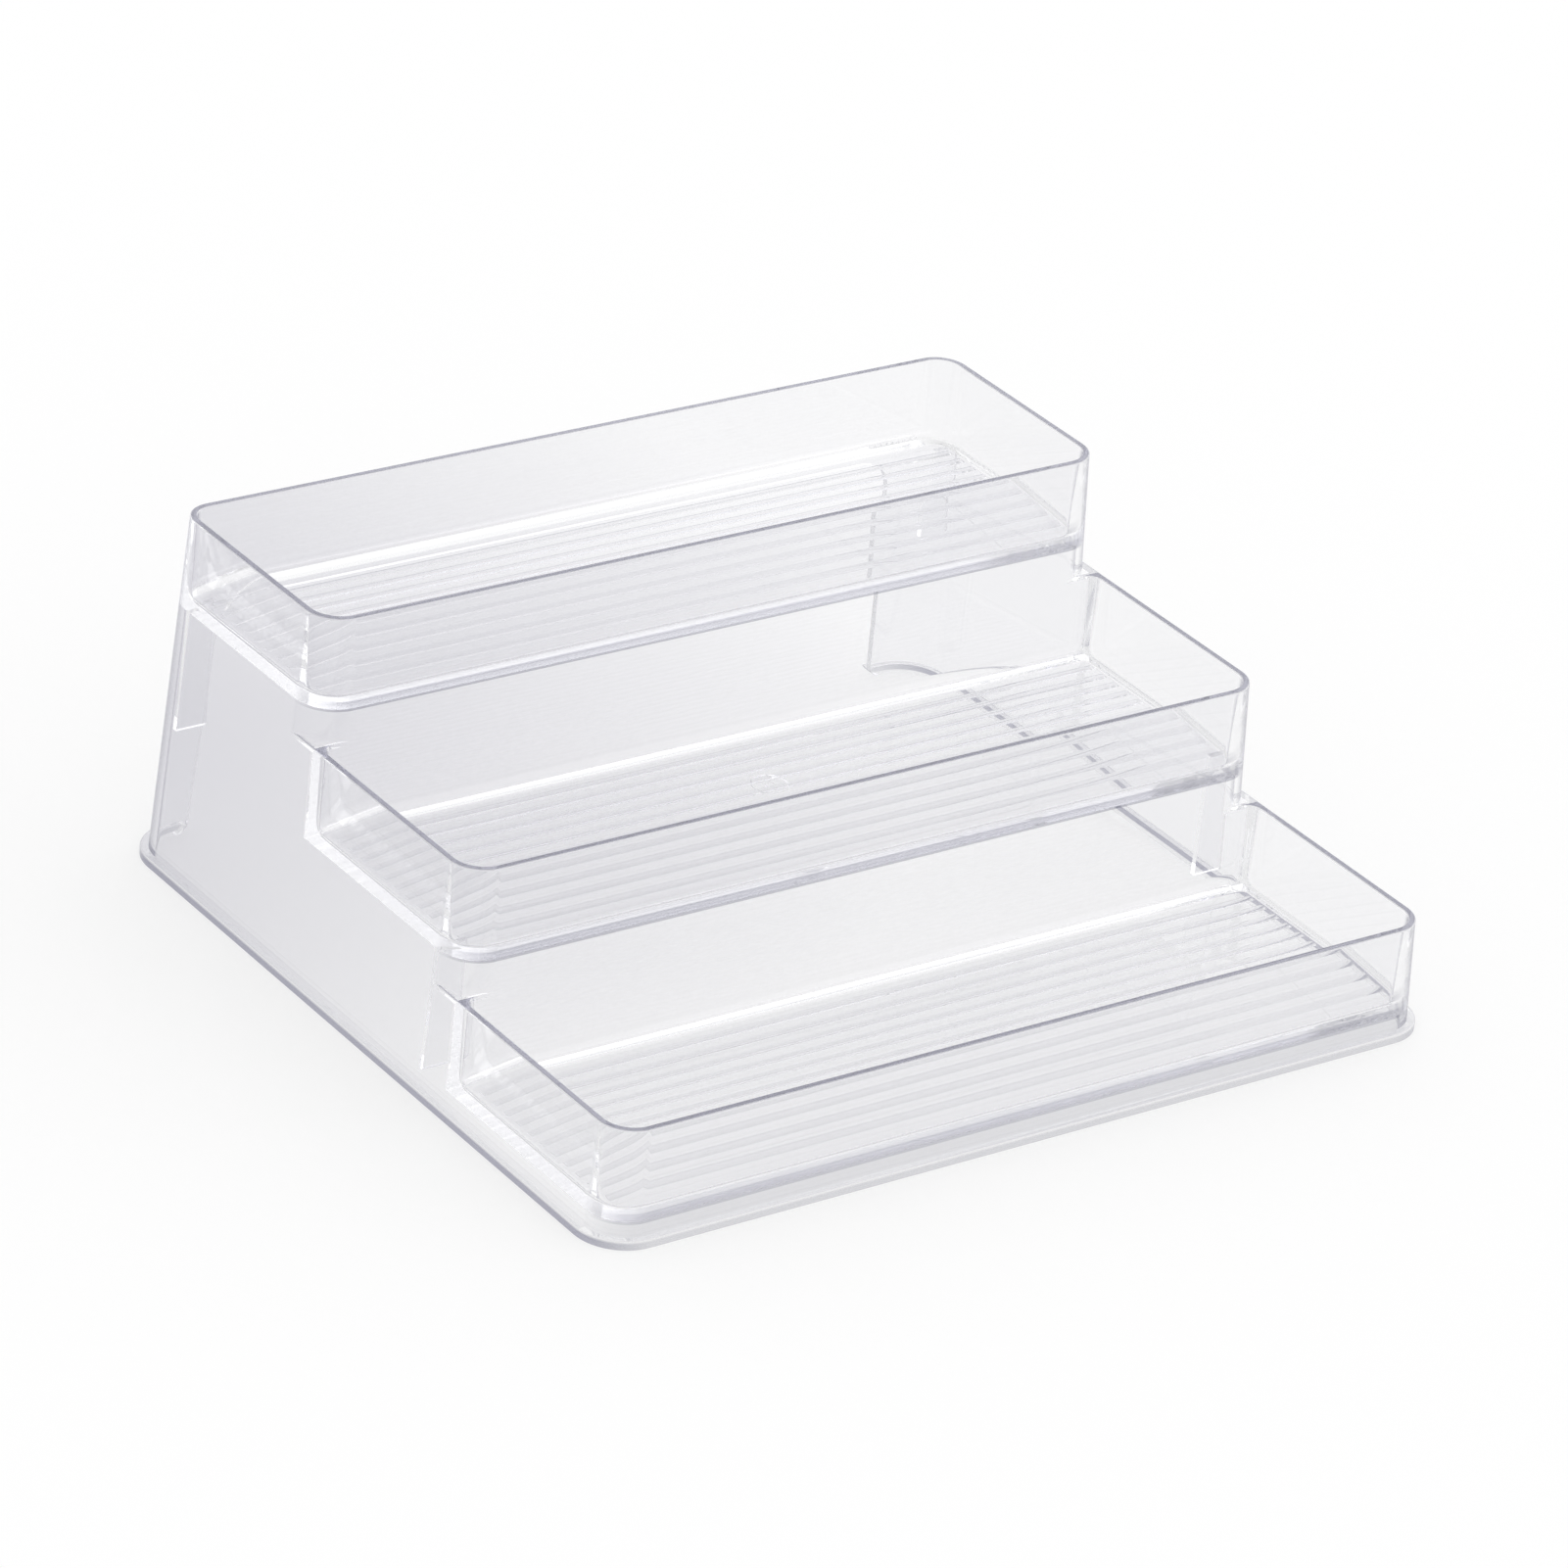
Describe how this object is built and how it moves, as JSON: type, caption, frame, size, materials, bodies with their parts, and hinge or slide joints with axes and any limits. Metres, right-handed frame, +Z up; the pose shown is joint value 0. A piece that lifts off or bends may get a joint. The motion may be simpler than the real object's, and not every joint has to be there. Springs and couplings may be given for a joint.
{
  "type": "vanity organizer",
  "caption": "Stepped clear plastic vanity organizer: walled trays with ridged floors rise in tiers over a hollow skirt with a lipped foot and an open back.",
  "frame": {"origin": "centre of the foot, on the surface that the organizer stands on", "axes": "+X to the right along the trays, +Y towards the back and the top tray, +Z up"},
  "size_m": [0.27, 0.2422, 0.103],
  "materials": {
    "clear_walls": "clear, high gloss",
    "ridged_floors": "clear, softly ridged"
  },
  "bodies": {
    "root": {"bottom_tray_walls": "clear_walls", "middle_tray_walls": "clear_walls", "top_tray_walls": "clear_walls", "lower_riser": "clear_walls", "upper_riser": "clear_walls", "front_skirt": "clear_walls", "left_skirt": "clear_walls", "right_skirt": "clear_walls", "rear_left_return": "clear_walls", "rear_right_return": "clear_walls", "rear_rail": "clear_walls", "middle_left_lug": "clear_walls", "middle_right_lug": "clear_walls", "rear_left_lug": "clear_walls", "rear_right_lug": "clear_walls", "bottom_tray_floor": "ridged_floors", "middle_tray_floor": "ridged_floors", "top_tray_floor": "ridged_floors"}
  },
  "joints": []
}
